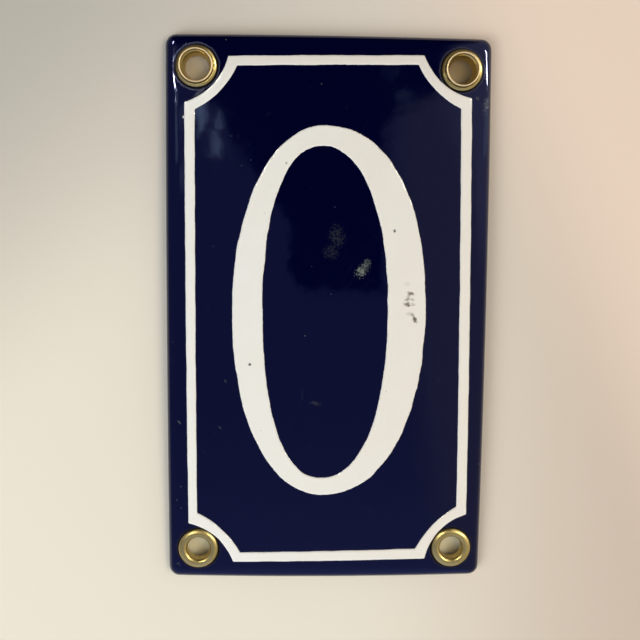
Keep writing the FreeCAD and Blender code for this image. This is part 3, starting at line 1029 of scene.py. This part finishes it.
# Middle and half size, to the right and up, and how bright
panes = (((-0.250, 0.172), (0.012, 0.058), 0.35), ((-0.205, 0.215), (0.009, 0.022), 1.0),
         ((-0.170, 0.216), (0.005, 0.011), 0.8), ((-0.180, 0.178), (0.013, 0.020), 0.7),
         ((0.185, 0.243), (0.014, 0.013), 0.16), ((0.160, 0.285), (0.012, 0.008), 0.10),
         ((-0.330, 0.200), (0.040, 0.050), 0.45),
         ((0.780, 0.185), (0.200, 0.030), 0.45))

world = bpy.data.worlds.new("soft_tent")
world.use_nodes = True
bpy.context.scene.world = world
tree = world.node_tree
way = add(tree, "ShaderNodeTexCoord").outputs["Generated"]
wobble = add(tree, "ShaderNodeTexNoise", {"Vector": way, "Scale": 70.0, "Detail": 3.0})
centred = vector_calc(tree, "SUBTRACT", wobble.outputs["Color"], (0.5, 0.5, 0.5))
moved = vector_calc(tree, "MULTIPLY_ADD", centred, (0.035, 0.035, 0.035), way)
axes = add(tree, "ShaderNodeSeparateXYZ", {"Vector": moved}).outputs
right, up = axes["X"], axes["Y"]


def across_tent(along_right, along_up, low, high):
    """A soft edge across the tent: 0 on one side of a straight line and 1 on the other."""
    value = total(tree, calc(tree, "MULTIPLY", right, along_right), (up, along_up))
    return step_mask(tree, value, low, high)


def beside(axis, middle, half):
    """1 within half a width of the middle, with soft edges."""
    distance = calc(tree, "ABSOLUTE", calc(tree, "SUBTRACT", axis, middle))
    return step_mask(tree, distance, half + 0.003, half - 0.002)


tent = tint(tree, across_tent(0, 1, -0.2, -0.8), tent_colour, near_colour)
tent = tint(tree, across_tent(1, 0.15, 0.15, 0.25), tent, right_colour)
far_right = calc(tree, "MULTIPLY", across_tent(1, 0.4, 0.33, 0.42), across_tent(0, 1, -0.06, 0.1))
tent = tint(tree, far_right, tent, far_right_colour)
upper_right = calc(tree, "MULTIPLY", across_tent(-0.36, 1, 0.151, 0.168),
                   across_tent(1, 0, 0.31, 0.25))
right_edge = calc(tree, "MAXIMUM", across_tent(1, 0, 0.163, 0.142), upper_right)
left_edge = calc(tree, "MAXIMUM", across_tent(1, 0.8, -0.005, 0.02),
                 across_tent(1, 0, -0.042, -0.022))
lower_edge = calc(tree, "MINIMUM", across_tent(0, 1, -0.060, -0.038),
                  across_tent(1, 1.2, -0.075, -0.045))
opening = calc(tree, "MULTIPLY", calc(tree, "MULTIPLY", left_edge, right_edge), lower_edge)
tent = tint(tree, opening, tent, opening_colour)
drawn_out = vector_calc(tree, "MULTIPLY", way, (1.0, 0.3, 1.0))
streaks = step_mask(tree, cloud(tree, drawn_out, 0.016, detail=3.0), 0.3, 0.6)
for middle, half, strength in panes:
    pane = calc(tree, "MULTIPLY", beside(right, middle[0], half[0]), beside(up, middle[1], half[1]))
    pane = calc(tree, "MULTIPLY", pane, streaks)
    tent = tint(tree, calc(tree, "MULTIPLY", pane, strength), tent, pane_colour)
tree.links.new(tent, tree.nodes["Background"].inputs["Color"])

# %% Lamps
# Place and size in metres, watts, colour, and the turn in its own plane in degrees
room_lamps = {
    "room_right": ((0.42, -0.06, 0.85), (0.45, 0.40), 3.1, (1.0, 0.89, 0.76), 0),
    "room_near": ((-0.39, -0.27, 0.44), (0.40, 0.40), 2.35, (0.96, 1.0, 0.98), 0),
}
glint_lamps = {
    "tube_right": ((0.846, 0.391, 0.731), (0.015, 0.68), 7.3, (1.0, 0.94, 0.72), -26),
    "window_left": ((-0.39, 0.335, 0.95), (0.032, 0.070), 2.0, (1.0, 0.96, 0.76), 0),
    "window_far": ((-0.50, 0.585, 0.85), (0.10, 0.06), 2.6, (1.0, 0.96, 0.76), 0),
}
for name, (position, (width, depth), watts, colour, turn) in (room_lamps | glint_lamps).items():
    light = bpy.data.lights.new(name, "AREA")
    light.shape = "RECTANGLE"
    light.size, light.size_y = width, depth
    light.energy = watts
    light.color = colour
    lamp = bpy.data.objects.new(name, light)
    lamp.location = position
    lamp.rotation_mode = "QUATERNION"
    aim = Vector(position).to_track_quat("Z", "Y")
    lamp.rotation_quaternion = aim @ Quaternion((0, 0, 1), math.radians(turn))
    lamp.visible_glossy = name in glint_lamps
    lamp.visible_diffuse = name in room_lamps
    bpy.context.scene.collection.objects.link(lamp)
    print("lamp", name, watts, "W")
bpy.context.scene.view_settings.view_transform = "Standard"
